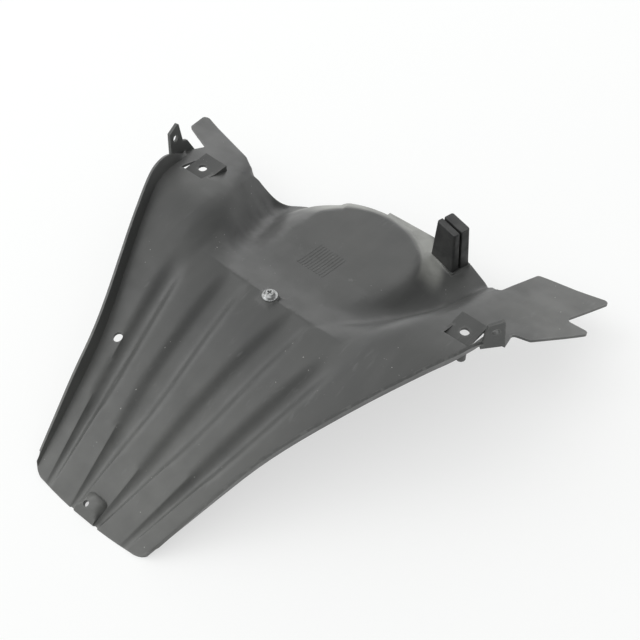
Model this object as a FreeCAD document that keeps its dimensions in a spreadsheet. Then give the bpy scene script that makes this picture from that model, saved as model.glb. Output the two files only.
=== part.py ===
"""Inner mudguard of a motor scooter, with its screw, washer and rubber buffer.

The mudguard is one thin moulding. Its skin is lofted through cross sections: X runs
across, Y from the narrow tail to the wide end and Z up. It rests on its tail edge and on
the far rim of its round hub. Places along the part are counted from the tail; the finished
pieces are moved so that the origin is under the middle. Lengths are millimetres.
"""

import FreeCAD
import Part
import math
import os

from FreeCAD import Vector

doc = FreeCAD.newDocument("scooter_mudguard")
sheet = doc.addObject("Spreadsheet::Sheet", "Sizes")

SIZES = [
    # the moulded skin
    ("wall", 2.7, "thickness of the moulding"),
    ("tail_half_width", 58.8, "half width of the tail end"),
    ("tail_corner", 18.0, "corner radius of the tail end"),
    ("tail_rise", 3.0, "top of the skin at the tail edge"),
    ("tail_bow", 3.0, "bow of the tail edge in plan"),
    ("fan_taper", 0.26, "sideways growth of the fan per length"),
    ("flare_start", 107.0, "place along the fan where the flare starts"),
    ("flare_rate", 0.25, "extra sideways growth in the flare"),
    ("flare_blend", 5.5, "softness of the flare's start"),
    ("fan_slope", 0.40, "rise of the fan per length"),
    ("ridge_place", 212.0, "distance from the tail to the ridge"),
    ("ridge_height", 71.0, "height of the ridge on the centre line"),
    ("ridge_blend", 13.0, "softness of the fan's crown before the ridge"),
    ("ridge_edge", 0.8, "softness of the ridge line itself"),
    ("crown_room", 2.0, "height of the crown over the ridge without that softness"),
    ("trough_slope", 0.42, "fall of the trough behind the ridge"),
    ("trough_half_width", 58.0, "half width of the trough at the ridge"),
    ("trough_flare", 0.36, "sideways growth of the trough per length"),
    ("trough_wall_run", 28.0, "width of the slope between trough and wing"),
    ("trough_wall_slope", 1.2, "steepness of that slope behind the ridge"),
    ("dish_slope", 0.15, "steepness of that slope ahead of the ridge"),
    ("dish_run", 55.0, "length over which the slope steepens"),
    ("crest_blend", 5.0, "softness of the crest between trough and wing"),
    ("wing_height", 78.0, "height of the wing line beside the pockets"),
    ("left_wing_slope", 0.40, "fall of the left wing behind the pockets"),
    ("right_wing_slope", 0.36, "fall of the right wing behind the pockets"),
    ("wing_blend", 25.0, "softness of the crown between fan and wing"),
    ("seat_height", 36.0, "height of the buffer's seat"),
    ("seat_inner_edge", -46.0, "place across where the seat starts"),
    ("seat_blend", 6.0, "width over which the seat rises"),
    ("crease_blend", 3.0, "softness of the creases in the skin"),
    # side lips
    ("lip_height", 11.5, "height of the upturned side lips"),
    ("lip_tail_height", 1.5, "height of the lips at the tail"),
    ("lip_rise_length", 70.0, "length over which the lips rise"),
    ("lip_fade_start", 262.0, "place where the lips start to fade"),
    ("lip_fade_end", 291.0, "place where the lips end"),
    ("lip_lean", 0.25, "outward lean of the lips"),
    # flutes
    ("flute_depth", 5.0, "depth of the flutes"),
    ("flute_wall_run", 3.5, "width of a flute's side wall"),
    ("flute_wall_share", 0.6, "largest share of a flute's half width in its wall"),
    ("flute_tail_run", 45.0, "length over which the flutes deepen from the tail"),
    ("flute_end_run", 18.0, "length of a flute's rounded end"),
    ("inner_flute_tail", 13.5, "inner flute's place at the tail"),
    ("inner_flute_taper", 0.097, "inner flute's sideways drift"),
    ("inner_flute_tail_half", 2.8, "inner flute's half width at the tail"),
    ("inner_flute_growth", 0.095, "growth of that half width"),
    ("inner_flute_half", 12.5, "inner flute's largest half width"),
    ("inner_flute_end", 209.0, "place where the inner flutes end"),
    ("outer_flute_tail", 42.0, "outer flute's place at the tail"),
    ("outer_flute_taper", 0.205, "outer flute's sideways drift"),
    ("outer_flute_tail_half", 3.2, "outer flute's half width at the tail"),
    ("outer_flute_growth", 0.05, "growth of that half width"),
    ("outer_flute_half", 8.5, "outer flute's largest half width"),
    ("outer_flute_end", 194.0, "place where the outer flutes end"),
    # plan outline of the wide end
    ("outline_rounding", 4.0, "rounding of the outline's corners"),
    ("left_edge_half", 163.0, "half width of the fan at the left ear"),
    ("right_edge_half", 158.0, "half width of the fan at the right ear"),
    ("ear_edge_blend", 8.0, "softness of the edge's bend before the ears"),
    ("lobe_reach", 70.0, "extra half width of the skin at the lobes"),
    ("notch_half", 168.0, "half width at the notch behind the ears"),
    ("notch_place", 311.0, "place of that notch"),
    ("right_lobe_side_half", 182.0, "half width at the side of the right lobe"),
    ("right_lobe_side_place", 316.0, "place of the side of the right lobe"),
    ("right_lobe_tip_half", 210.0, "half width at the right lobe's tip"),
    ("right_lobe_tip_place", 364.0, "place of the right lobe's tip"),
    ("left_lobe_side_half", 201.0, "half width at the side of the left lobe"),
    ("left_lobe_side_place", 325.0, "place of the side of the left lobe"),
    ("left_lobe_tip_half", 210.0, "half width at the left lobe's tip"),
    ("left_lobe_tip_place", 354.0, "place of the left lobe's tip"),
    ("lobe_curl", 6.0, "upward curl of the lobes' tips"),
    ("lobe_curl_run", 20.0, "width of that curl"),
    ("flap_root_half", 185.0, "outer root of the right flap"),
    ("flap_root_place", 366.0, "place of that root"),
    ("flap_tip_half", 198.0, "outer far corner of the right flap"),
    ("flap_tip_place", 420.0, "place of that corner"),
    ("flap_inner_half", 135.0, "inner far corner of the right flap"),
    ("flap_inner_place", 403.0, "place of that corner"),
    ("wing_inner_half", 127.0, "inner corner of the wings"),
    ("right_wing_inner_place", 352.0, "place of the right wing's inner corner"),
    ("left_wing_inner_place", 328.0, "place of the left wing's inner corner"),
    ("wing_inner_cut", 6.0, "cut corner of the left wing"),
    ("seat_far_half", 64.0, "outer far corner of the buffer's seat"),
    ("seat_far_place", 379.0, "far edge of the buffer's seat"),
    ("seat_end", -8.0, "inner end of that far edge"),
    ("seat_side_half", 86.0, "side corner of the buffer's seat"),
    ("seat_side_place", 373.0, "place of that corner"),
    ("seat_corner_half", 107.0, "outer corner of the buffer's seat"),
    ("seat_corner_place", 364.0, "place of that corner"),
    ("left_valley_half", 98.0, "left valley's outer corner"),
    ("left_valley_place", 334.0, "place of that corner"),
    ("left_valley_far_half", 79.0, "left valley's far corner"),
    ("left_valley_far_place", 354.0, "place of that corner"),
    # round hub
    ("hub_place", 304.0, "centre of the hub along the part"),
    ("hub_height", 49.0, "height of the hub's top at its centre"),
    ("hub_tilt", 7.6, "backward tilt of the hub's top, degrees"),
    ("hub_radius", 64.0, "radius of the hub's flat top"),
    ("hub_shoulder_radius", 82.0, "radius under the hub's sloping rim"),
    ("hub_rim_drop", 16.0, "fall of the sloping rim"),
    ("hub_foot_radius", 87.0, "radius of the hub's wall at its foot"),
    ("hub_depth", 60.0, "length of the hub from its top to its foot"),
    ("hub_rim_run", 5.0, "width of the soft edge between the top and the rim"),
    ("hub_rim_soft", 2.2, "fall of that soft edge"),
    ("hub_step", 0.6, "height of the hub's top over the skin beside and behind it"),
    ("hub_near_cover", 0.9, "height of the skin over the hub's near edge"),
    ("apron_fall", 0.35, "fall of the skin away from the hub's near side"),
    ("apron_far_fall", 1.0, "extra fall of the skin past the hub's middle"),
    ("apron_run", 50.0, "length over which that extra fall comes in"),
    # screw pockets
    ("pocket_half", 142.0, "distance of the pocket holes from the centre"),
    ("pocket_place", 281.5, "place of the pocket holes"),
    ("pocket_level", 74.4, "height of the pocket's pad"),
    ("pocket_width", 22.0, "width of the pad"),
    ("pocket_length", 26.0, "length of the pad"),
    ("pocket_hole", 8.0, "diameter of the pocket holes"),
    ("pocket_slit", 1.8, "open slit beside the pad"),
    # ears
    ("left_ear_half", 170.0, "distance of the left ear's foot from the centre"),
    ("left_ear_place", 278.5, "place of the left ear"),
    ("left_ear_turn", 8.0, "turn of the left ear along the edge, degrees"),
    ("left_ear_height", 32.0, "height of the left ear over the skin"),
    ("right_ear_half", 165.5, "distance of the right ear's foot from the centre"),
    ("right_ear_place", 286.0, "place of the right ear"),
    ("right_ear_turn", 40.0, "turn of the right ear along the edge, degrees"),
    ("right_ear_height", 30.0, "height of the right ear over the skin"),
    ("ear_lean", 3.0, "outward lean of the ears, degrees"),
    ("ear_width", 20.0, "width of the ears at their foot"),
    ("ear_top_width", 13.0, "width of the ears at their top"),
    ("ear_slant", 4.0, "fall of the ears' top towards the tail"),
    ("ear_tip", 1.5, "small corner at the ears' tip"),
    ("ear_hole", 6.5, "diameter of the ears' holes"),
    ("ear_hole_share", 0.6, "height of those holes as a share of the ear's height"),
    ("ear_root", 2.0, "depth of the ears' root in the skin"),
    ("web_length", 12.0, "length of the web behind the left ear"),
    ("web_height", 12.0, "height of that web at the ear"),
    ("web_drop", 9.0, "fall of that web's foot along the edge"),
    # small moulded features
    ("side_hole", 8.0, "diameter of the left side hole"),
    ("side_hole_half", 78.0, "distance of that hole from the centre"),
    ("side_hole_place", 115.0, "place of that hole"),
    ("boss_place", -1.8, "near end of the tail boss"),
    ("boss_width", 21.0, "width of the tail boss"),
    ("boss_length", 20.0, "length of the tail boss"),
    ("boss_height", 5.5, "height of the tail boss over the skin"),
    ("boss_near_height", 1.5, "height of its near end over the skin"),
    ("boss_slope_share", 0.45, "share of its length that rises"),
    ("boss_corner", 5.0, "corner radius of its far end"),
    ("boss_edge", 1.5, "slanted rim of its top"),
    ("boss_hole", 5.0, "diameter of the tail boss hole"),
    ("screw_boss", 11.0, "diameter of the boss under the screw"),
    ("screw_boss_length", 13.0, "length of that boss under the skin"),
    ("peg_diameter", 8.0, "diameter of the pegs under the lips' ends"),
    ("peg_length", 9.0, "length of those pegs under the skin"),
    ("peg_half", 153.0, "distance of the pegs from the centre"),
    ("peg_place", 262.0, "place of the pegs"),
    # screw and washer
    ("screw_diameter", 5.0, "outer diameter of the screw's shank"),
    ("screw_length", 14.0, "length of the shank under the head"),
    ("screw_clearance", 0.1, "room round the shank in its boss"),
    ("screw_head", 9.5, "diameter of the pan head"),
    ("screw_head_top", 6.6, "diameter of the pan head's flat top"),
    ("screw_head_side", 1.8, "height of the pan head's upright side"),
    ("screw_head_height", 3.4, "height of the pan head"),
    ("screw_recess", 4.8, "width of the cross recess"),
    ("screw_recess_slot", 1.3, "width of the recess's arms"),
    ("screw_recess_depth", 1.8, "depth of the cross recess"),
    ("washer_diameter", 13.0, "outer diameter of the washer"),
    ("washer_thickness", 1.2, "thickness of the washer"),
    ("washer_hole", 5.4, "hole of the washer"),
    ("washer_pad", 15.0, "flat pad on the ridge under the washer"),
    # rubber buffer and its tab
    ("buffer_half", 68.0, "distance of the buffer from the centre line"),
    ("buffer_place", 365.5, "place of the buffer"),
    ("buffer_turn", -14.0, "turn of the buffer, degrees"),
    ("buffer_width", 29.0, "width of the buffer at its foot"),
    ("buffer_depth", 19.0, "depth of the buffer at its foot"),
    ("buffer_height", 41.5, "height of the buffer over its seat"),
    ("buffer_top_width", 23.0, "width of the buffer at its top"),
    ("buffer_top_depth", 17.0, "depth of the buffer at its top"),
    ("buffer_rounding", 2.0, "rounding of the buffer's upright edges"),
    ("buffer_slot", 2.2, "width of the slot across the buffer's top"),
    ("buffer_slot_depth", 9.0, "depth of that slot"),
    ("buffer_slot_offset", 1.5, "offset of that slot to the front"),
    ("buffer_groove_depth", 2.5, "depth of the groove at the buffer's sides"),
    ("buffer_foot_gap", 0.2, "gap between the buffer and its seat"),
    ("buffer_pad", 1.8, "height of the flat pad under the buffer"),
    ("buffer_pad_rim", 0.8, "rim of that pad round the buffer"),
    ("tab_width", 13.0, "width of the buffer's tab"),
    ("tab_thickness", 4.0, "thickness of the buffer's tab"),
    ("tab_height", 28.0, "height of the tab over the seat"),
    ("tab_clearance", 0.2, "clearance of the buffer round its tab"),
]

for row, (alias, value, note) in enumerate(SIZES, start=1):
    sheet.set("A%d" % row, note)
    sheet.set("B%d" % row, str(value))
    sheet.setAlias("B%d" % row, alias)
doc.recompute()


def size(alias):
    """Value of a driving dimension."""
    return float(sheet.get(alias))


def soft_min(first, second, blend):
    """The lower of two heights, with a rounded change over."""
    return (first + second - math.hypot(first - second, blend)) / 2.0


def soft_max(first, second, blend):
    """The higher of two heights, with a rounded change over."""
    return -soft_min(-first, -second, blend)


def smooth_step(value, start, stop):
    """0 before start, 1 after stop, and an S curve between them."""
    share = min(1.0, max(0.0, (value - start) / (stop - start)))
    return share * share * (3.0 - 2.0 * share)


def mixed(first, second, share):
    return first + (second - first) * share


X_AXIS = Vector(1, 0, 0)
Z_AXIS = Vector(0, 0, 1)
WELL_BELOW = -200.0
WELL_ABOVE = 400.0
WELL_OUTSIDE = 400.0
STEEP = 0.9
SIDES = (("left", -1.0), ("right", 1.0))


# Form of the skin: its height over any place, and its edge in plan.

def fan_height(along):
    return size("tail_rise") + size("fan_slope") * along


def apron_height(across, along):
    """Skin round the hub: over its near edge, under its other edges, falling away from it."""
    back = along - size("hub_place")
    flat = size("hub_height") - math.tan(math.radians(size("hub_tilt"))) * back
    half_run = size("apron_run") / 2.0
    far_share = smooth_step(back, -half_run, half_run)
    fall = size("apron_fall") + size("apron_far_fall") * far_share
    step = mixed(-size("hub_near_cover"), size("hub_step"), smooth_step(back, -size("hub_radius"), 0.0))
    return flat - step - fall * max(0.0, math.hypot(across, back) - size("hub_radius"))


def middle_height(across, along):
    """Fan up to the ridge, trough and apron behind it, buffer seat on the right."""
    crown_top = size("ridge_height") + size("crown_room")
    crown = soft_min(fan_height(along), crown_top, size("ridge_blend"))
    trough = size("ridge_height") - size("trough_slope") * (along - size("ridge_place"))
    trough = soft_max(trough, apron_height(across, along), size("crease_blend"))
    seat = soft_max(trough, size("seat_height"), size("crease_blend"))
    inner = size("seat_inner_edge")
    share = smooth_step(across, inner, inner + size("seat_blend"))
    return soft_min(crown, mixed(trough, seat, share), size("ridge_edge"))


def wing_height(side_name, along):
    fall = size("wing_height") - size(side_name + "_wing_slope") * (along - size("pocket_place"))
    return soft_min(fan_height(along), fall, size("wing_blend"))


def trough_foot(along):
    """Half width of the trough."""
    return size("trough_half_width") + size("trough_flare") * (along - size("ridge_place"))


def skin_height(across, along):
    """Top of the skin without flutes and lips."""
    ridge = size("ridge_place")
    steep = smooth_step(along, ridge - size("dish_run") / 4.0, ridge + size("dish_run"))
    slope = mixed(size("dish_slope"), size("trough_wall_slope"), steep)
    outside = max(0.0, abs(across) - trough_foot(along))
    inner_side = middle_height(across, along) + slope * outside
    side_name = "left" if across < 0.0 else "right"
    height = soft_min(inner_side, wing_height(side_name, along), size("crest_blend"))
    tip = size(side_name + "_lobe_tip_half")
    curl = smooth_step(abs(across), tip - size("lobe_curl_run"), tip)
    curl *= smooth_step(along, size("notch_place"), size(side_name + "_lobe_tip_place"))
    return height + size("lobe_curl") * curl


def half_width(side_name, along):
    """Half width of the skin: tapered fan, flare, straight run at the ears, then the lobes."""
    flare = soft_max(0.0, size("flare_rate") * (along - size("flare_start")), size("flare_blend"))
    fan = size("tail_half_width") + size("fan_taper") * along + flare
    edge = soft_min(fan, size(side_name + "_edge_half"), size("ear_edge_blend"))
    lobe = smooth_step(along, size("pocket_place"), size("notch_place") + size("ear_width"))
    return edge + size("lobe_reach") * lobe


def lip(along):
    """Height of the side lip."""
    rise = smooth_step(along, 0.0, size("lip_rise_length"))
    full = mixed(size("lip_tail_height"), size("lip_height"), rise)
    return full * (1.0 - smooth_step(along, size("lip_fade_start"), size("lip_fade_end")))


def lip_run(along):
    """Outward run of the side lip."""
    return size("lip_lean") * (lip(along) + size("wall"))


def flute_section(kind, along):
    """Across places and depths of one flute: two top corners and two floor corners."""
    middle = size(kind + "_flute_tail") + size(kind + "_flute_taper") * along
    grown = size(kind + "_flute_tail_half") + size(kind + "_flute_growth") * along
    half = soft_min(grown, size(kind + "_flute_half"), size("flute_wall_run") / 4.0)
    run = min(size("flute_wall_run"), size("flute_wall_share") * half)
    end = size(kind + "_flute_end")
    depth = size("flute_depth") * smooth_step(along, 0.0, size("flute_tail_run"))
    depth *= 1.0 - smooth_step(along, end - size("flute_end_run"), end)
    places = (-half, -half + run, half - run, half)
    depths = (0.0, depth, depth, 0.0)
    return [(middle + place, deep) for place, deep in zip(places, depths)]


def rear_places(along, count):
    """Across places behind the ridge: two on the trough, the rest close on its wall."""
    foot = trough_foot(along)
    over = foot + size("trough_wall_run") + 2.0 * size("crest_blend")
    wall_count = count - 3
    wall = [mixed(foot, over, index / wall_count) for index in range(wall_count + 1)]
    return [foot / 3.0, foot * 2.0 / 3.0] + wall


def half_section(side_name, along):
    """Across places and depths below the skin, from the centre to the lip's edge."""
    front = flute_section("inner", along) + flute_section("outer", along)
    rear = rear_places(along, len(front))
    behind = smooth_step(along, size("inner_flute_end"), size("ridge_place") + size("dish_run"))
    section = [(mixed(place, far, behind), deep) for (place, deep), far in zip(front, rear)]
    edge = half_width(side_name, along)
    height = lip(along)
    section.append(((section[-1][0] + edge) / 2.0, 0.0))
    section.append((edge, 0.0))
    section.append((edge + lip_run(along), -height))
    return section


def section_points(along):
    """Corners of the skin's top, from the left lip to the right lip."""
    left = half_section("left", along)
    places = [(-across, deep) for across, deep in reversed(left)] + half_section("right", along)
    return [Vector(across, along, skin_height(across, along) - deep) for across, deep in places]


def points_below(points):
    """The same section one wall lower, square to the section's line."""
    lower = []
    for index, point in enumerate(points):
        before = points[max(0, index - 1)]
        after = points[min(len(points) - 1, index + 1)]
        run = (after - before).normalize()
        lower.append(point - Vector(-run.z, 0.0, run.x) * size("wall"))
    return lower


STEP_SHRINK = 0.9
TAIL_STEPS = 2
FAN_STEPS = 6
REAR_STEPS = 9
RUN_DEGREE = 2


def spaced_closer(start, stop, count):
    """Places from start to stop with steps that shrink evenly towards stop."""
    gaps = [STEP_SHRINK ** index for index in range(count)]
    places = [start]
    for gap in gaps:
        places.append(places[-1] + (stop - start) * gap / sum(gaps))
    return places


def stations():
    """Places of the sections, in one run up to the ridge and one behind it, both close at the ridge."""
    ridge = size("ridge_place")
    near = -2.0 * size("tail_bow")
    lip_end = size("lip_rise_length")
    far = size("flap_tip_place") + size("tail_corner")
    tail = [mixed(near, lip_end, index / TAIL_STEPS) for index in range(TAIL_STEPS)]
    ahead = tail + spaced_closer(lip_end, ridge, FAN_STEPS)
    behind = spaced_closer(far, ridge, REAR_STEPS)[::-1]
    return ahead, behind


def strip(first, second):
    """Face between two lines of control points that run along the part."""
    spans = len(first) - RUN_DEGREE
    knots = [float(index) for index in range(spans + 1)]
    ends = RUN_DEGREE + 1
    surface = Part.BSplineSurface()
    surface.buildFromPolesMultsKnots(
        [first, second], [2, 2], [ends] + [1] * (spans - 1) + [ends],
        [0.0, 1.0], knots, False, False, 1, RUN_DEGREE)
    return surface.toShape()


def skinned(runs):
    """Solid round closed sections that all have the same corners, creased between its runs."""
    faces = []
    for sections in runs:
        lines = list(zip(*sections))
        for first, second in zip(lines, lines[1:] + lines[:1]):
            faces.append(strip(list(first), list(second)))
    for section in (runs[0][0], runs[-1][-1]):
        faces.append(Part.Face(Part.makePolygon(section + section[:1])))
    shell = Part.makeShell(faces)
    shell.sewShape()
    solid = Part.makeSolid(shell)
    if solid.Volume < 0.0:
        solid.reverse()
    return solid


def add_solid(name, shape):
    """A form that is set from the sheet in code."""
    piece = doc.addObject("Part::Feature", name)
    piece.Shape = shape
    return piece


def add_bound(kind, name, placement, **bindings):
    """A primitive whose sizes are bound to the sheet."""
    piece = doc.addObject(kind, name)
    for field, expression in bindings.items():
        piece.setExpression(field, expression)
    piece.Placement = placement
    return piece


def add_box(name, placement, length, width, height):
    return add_bound("Part::Box", name, placement, Length=length, Width=width, Height=height)


def add_cylinder(name, placement, radius, height):
    return add_bound("Part::Cylinder", name, placement, Radius=radius, Height=height)


def add_fuse(name, pieces):
    joined = doc.addObject("Part::MultiFuse", name)
    joined.Shapes = pieces
    joined.Refine = False
    return joined


def add_cut(name, base, tool):
    cut = doc.addObject("Part::Cut", name)
    cut.Base = base
    cut.Tool = tool
    cut.Refine = False
    return cut


def add_dressing(kind, name, base, amount, wanted):
    """Fillet or chamfer on those edges of a piece for which wanted(edge) is true."""
    doc.recompute()
    dressing = doc.addObject(kind, name)
    dressing.Base = base
    dressing.Edges = [
        (index, amount, amount)
        for index, edge in enumerate(base.Shape.Edges, start=1) if wanted(edge)]
    return dressing


def add_rounding(name, base, radius, wanted):
    return add_dressing("Part::Fillet", name, base, radius, wanted)


def placed(x, y, z, rotation=FreeCAD.Rotation()):
    return FreeCAD.Placement(Vector(x, y, z), rotation)


def turned(axis, degrees):
    return FreeCAD.Rotation(axis, degrees)


def plate(corners, thickness):
    """Flat plate on a closed row of corners."""
    return Part.Face(Part.makePolygon(corners + corners[:1])).extrude(thickness)


def is_upright(edge):
    return abs(edge.tangentAt(edge.FirstParameter).z) > STEEP


# Skin, and the space under it for cutting what would hang below.

def skin_section(along):
    upper = section_points(along)
    return upper + points_below(upper)[::-1]


def space_section(along):
    lower = points_below(section_points(along))
    return lower + [Vector(point.x, along, WELL_BELOW) for point in reversed(lower)]


def eased_runs(section):
    """Sections of both runs; the one they share is moved so that only the trough has a crease."""
    ahead, behind = [[section(along) for along in run] for run in stations()]
    foot = size("trough_half_width")
    shared = []
    for before, point, after in zip(ahead[-2], ahead[-1], behind[1]):
        share = smooth_step(abs(point.x), foot, foot + size("trough_wall_run"))
        step = (point.y - before.y) / (after.y - before.y)
        shared.append(mixed(point, mixed(before, after, step), share))
    return ahead[:-1] + [shared], [shared] + behind[1:]


skin = add_solid("Skin", skinned(eased_runs(skin_section)))
underspace = add_solid("Underspace", skinned(eased_runs(space_section)))


# Ears stand on the edge of the skin, so their frame also gives the outline there.

class Ear:
    def __init__(self, side_name, side):
        turn = math.radians(size(side_name + "_ear_turn"))
        lean = math.radians(size("ear_lean"))
        across = side * size(side_name + "_ear_half")
        place = size(side_name + "_ear_place")
        self.height = size(side_name + "_ear_height")
        self.foot = Vector(across, place, skin_height(across, place))
        self.along = Vector(side * math.sin(turn), math.cos(turn), 0)
        outward = Vector(side * math.cos(turn), -math.sin(turn), 0)
        self.up = Z_AXIS * math.cos(lean) + outward * math.sin(lean)
        self.through = (outward * math.cos(lean) - Z_AXIS * math.sin(lean)) * size("wall")

    def outline(self):
        """Near and far place of the ear's outer face, as half widths."""
        half = self.along * (size("ear_width") / 2.0)
        ends = [self.foot - half + self.through / 4.0, self.foot + half + self.through / 4.0]
        return [(abs(end.x), end.y) for end in ends]

    def plate(self):
        """Upright plate, narrower at its top."""
        half = size("ear_width") / 2.0
        top = size("ear_top_width") / 2.0
        tip = size("ear_tip")
        return self.standing([
            (-half, -size("ear_root")), (half, -size("ear_root")),
            (top, self.height - tip), (top - tip, self.height),
            (-top, self.height - size("ear_slant"))])

    def web(self):
        """Web that leads the lip past the ear and falls with the skin."""
        near = size("ear_top_width") / 2.0
        far = size("ear_width") / 2.0 + size("web_length")
        drop = size("web_drop")
        return self.standing([
            (near, -size("ear_root")), (far, -size("ear_root") - drop), (far, -drop),
            ((near + far) / 2.0, size("web_height") - drop / 2.0), (near, size("web_height"))])

    def standing(self, corners):
        """Plate on corners given along the ear and upwards from its foot."""
        start = self.foot - self.through / 2.0
        return plate([start + self.along * s + self.up * lift for s, lift in corners], self.through)

    def drill(self):
        centre = self.foot + self.up * (self.height * size("ear_hole_share")) - self.through * 2.0
        return FreeCAD.Placement(centre, FreeCAD.Rotation(Z_AXIS, self.through))


ears = {side_name: Ear(side_name, side) for side_name, side in SIDES}


# Plan outline: bowed tail with round corners, notches, lobes, right flap, seat and valley edges.

def lobe_outline(side_name):
    return ears[side_name].outline() + [
        (size("notch_half"), size("notch_place")),
        (size(side_name + "_lobe_side_half"), size(side_name + "_lobe_side_place")),
        (size(side_name + "_lobe_tip_half"), size(side_name + "_lobe_tip_place")),
    ]


def far_outline():
    """Corners of the wide end, from the right ear round to the left ear."""
    right = lobe_outline("right") + [
        (size("flap_root_half"), size("flap_root_place")),
        (size("flap_tip_half"), size("flap_tip_place")),
        (size("flap_inner_half"), size("flap_inner_place")),
        (size("wing_inner_half"), size("right_wing_inner_place")),
        (size("seat_corner_half"), size("seat_corner_place")),
        (size("seat_side_half"), size("seat_side_place")),
        (size("seat_far_half"), size("seat_far_place")),
        (size("seat_end"), size("seat_far_place")),
        (0.0, size("hub_place")),
    ]
    cut = size("wing_inner_cut")
    left = lobe_outline("left") + [
        (size("wing_inner_half"), size("left_wing_inner_place")),
        (size("wing_inner_half") - cut, size("left_wing_inner_place") - cut),
        (size("left_valley_half"), size("left_valley_place")),
        (size("left_valley_far_half"), size("left_valley_far_place")),
        (size("left_valley_far_half") / 3.0, size("left_valley_place")),
    ]
    return right + [(-across, along) for across, along in reversed(left)]


SIDE_SLACK = 0.4


def outer_half(along):
    """Half width of the skin over its lip's outer face."""
    points = section_points(along)
    return max(point.x for point in points + points_below(points))


def tail_edges():
    """Edges of the tail end, from the left side round to the right side, with their ends."""
    radius = size("tail_corner")
    slant = math.atan(size("fan_taper"))
    side_place = radius * (1.0 - math.sin(slant))
    side_half = outer_half(side_place) - SIDE_SLACK
    centre_half = side_half - radius * math.cos(slant)
    middle_turn = (slant - math.pi / 2.0) / 2.0 - slant
    on_arc = (
        centre_half + radius * math.cos(middle_turn), radius + radius * math.sin(middle_turn))

    def corner(side):
        points = [(side_half, side_place), on_arc, (centre_half, 0.0)]
        return [Vector(side * across, along, WELL_BELOW) for across, along in points]

    left = corner(-1.0)
    right = corner(1.0)
    middle = Vector(0.0, -size("tail_bow"), WELL_BELOW)
    edges = [
        Part.Arc(*left).toShape(),
        Part.Arc(left[2], middle, right[2]).toShape(),
        Part.Arc(*reversed(right)).toShape(),
    ]
    return edges, left[0], right[0]


def outline_blank():
    edges, tail_left, tail_right = tail_edges()
    far = [Vector(across, along, WELL_BELOW) for across, along in far_outline()]
    side_end = size("pocket_place") - size("ear_width")
    corners = [
        tail_right,
        Vector(WELL_OUTSIDE, tail_right.y, WELL_BELOW), Vector(WELL_OUTSIDE, side_end, WELL_BELOW)]
    corners += far
    corners += [
        Vector(-WELL_OUTSIDE, side_end, WELL_BELOW), Vector(-WELL_OUTSIDE, tail_left.y, WELL_BELOW),
        tail_left]
    edges += [Part.makeLine(first, second) for first, second in zip(corners, corners[1:])]
    blank = Part.Face(Part.Wire(edges)).extrude(Vector(0, 0, WELL_ABOVE))
    upright = []
    for edge in blank.Edges:
        middle = edge.CenterOfMass
        behind_ears = middle.y > size("pocket_place") + size("ear_width")
        if is_upright(edge) and behind_ears and abs(middle.x) > size("hub_radius"):
            upright.append(edge)
    return blank.makeFillet(size("outline_rounding"), upright)


outline = add_solid("Outline", outline_blank())
trimmed = doc.addObject("Part::Common", "TrimmedSkin")
trimmed.Base = skin
trimmed.Tool = outline
trimmed.Refine = False


# Round hub: flat top, sloping rim and upright wall, hollow underneath.

hub_top = [(size("hub_radius"), 0.0)]
hub_soft_edge = [(size("hub_radius") + size("hub_rim_run"), -size("hub_rim_soft"))]
hub_side = [
    (size("hub_shoulder_radius"), -size("hub_rim_drop")), (size("hub_foot_radius"), -size("hub_depth"))]
hub_place = placed(
    0.0, size("hub_place"), size("hub_height"), turned(X_AXIS, -size("hub_tilt")))


def moved_inwards(corners, inset):
    """Radius and depth of a profile's corners after each of its faces moves inwards by inset."""
    facings = [Vector(0.0, 0.0, -1.0)]
    for (start_r, start_z), (end_r, end_z) in zip(corners, corners[1:]):
        facings.append(Vector(end_z - start_z, 0.0, start_r - end_r).normalize())
    facings.append(facings[-1])
    moved = []
    for (radius, depth), before, after in zip(corners, facings, facings[1:]):
        step = (before + after) * (inset / (1.0 + before.dot(after)))
        moved.append((radius + step.x, depth + step.z))
    return moved


def add_turned(name, corners):
    """Round body under a profile of radius and depth, at the hub's place."""
    outline = [(0.0, corners[0][1])] + corners + [(0.0, corners[-1][1])]
    profile = [Vector(radius, 0.0, depth) for radius, depth in outline]
    face = Part.Face(Part.makePolygon(profile + profile[:1]))
    piece = add_solid(name, face.revolve(Vector(0, 0, 0), Z_AXIS, 360.0))
    piece.Placement = hub_place
    return piece


hub_outer = add_turned("HubOuter", hub_top + hub_soft_edge + hub_side)
hub_inner = add_turned("HubInner", moved_inwards(hub_top + hub_side, size("wall")))
hub_wall = add_cut("HubWall", hub_outer, hub_inner)
hub = add_cut("Hub", hub_wall, underspace)


# Screw pockets: a level pad sunk into the sloping wing, with upright walls round it.

def pocket_levels(side, along):
    """Lowest and highest point of a pocket's wall at one place."""
    over = skin_height(side * size("pocket_half"), along)
    low = min(size("pocket_level"), over) - size("wall")
    high = max(size("pocket_level"), over - size("wall") / 3.0)
    return low, high


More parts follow.
